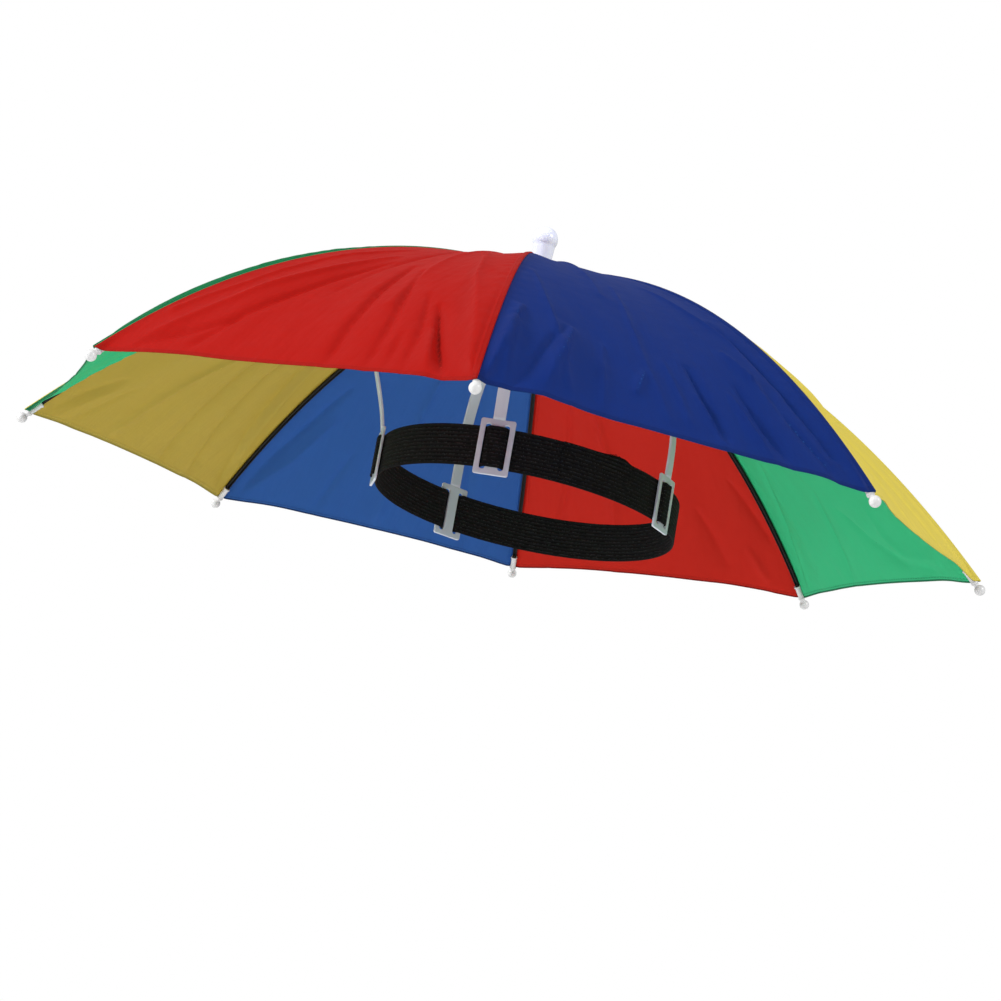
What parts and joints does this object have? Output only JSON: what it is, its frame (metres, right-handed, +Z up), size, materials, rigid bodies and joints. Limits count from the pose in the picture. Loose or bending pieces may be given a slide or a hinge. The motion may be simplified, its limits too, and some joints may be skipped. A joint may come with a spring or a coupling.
{
  "type": "umbrella hat",
  "caption": "Umbrella hat: a shallow fabric canopy in coloured panels on ball-tipped ribs, carried over the head by flexible strip legs buckled to an elastic headband.",
  "frame": {"origin": "centre of the headband, where the head sits", "axes": "+Z up along the canopy's axis, the wearer faces -Y, +X to the wearer's left"},
  "size_m": [0.5716, 0.5721, 0.1816],
  "materials": {
    "red_cloth": "thin red polyester taffeta with a slight sheen",
    "blue_cloth": "thin blue polyester taffeta with a slight sheen",
    "yellow_cloth": "thin yellow polyester taffeta with a slight sheen",
    "green_cloth": "thin green polyester taffeta with a slight sheen",
    "rib_black": "black coating, satin",
    "tip_plastic": "white moulded plastic",
    "leg_plastic": "translucent milky plastic, satin",
    "finial_plastic": "translucent milky plastic, glossy",
    "band_elastic": "black ribbed woven elastic"
  },
  "bodies": {
    "root": {"panel_1_red": "red_cloth", "panel_2_blue": "blue_cloth", "panel_3_yellow": "yellow_cloth", "panel_4_green": "green_cloth", "panel_5_red": "red_cloth", "panel_6_blue": "blue_cloth", "panel_7_yellow": "yellow_cloth", "panel_8_green": "green_cloth", "rib_1": "rib_black", "rib_2": "rib_black", "rib_3": "rib_black", "rib_4": "rib_black", "rib_5": "rib_black", "rib_6": "rib_black", "rib_7": "rib_black", "rib_8": "rib_black", "tip_cap_1": "tip_plastic", "tip_cap_2": "tip_plastic", "tip_cap_3": "tip_plastic", "tip_cap_4": "tip_plastic", "tip_cap_5": "tip_plastic", "tip_cap_6": "tip_plastic", "tip_cap_7": "tip_plastic", "tip_cap_8": "tip_plastic", "hub": "tip_plastic", "finial": "finial_plastic", "headband": "band_elastic", "leg_front_left": "leg_plastic", "leg_rear_left": "leg_plastic", "leg_rear_right": "leg_plastic", "leg_front_right": "leg_plastic"}
  },
  "joints": []
}
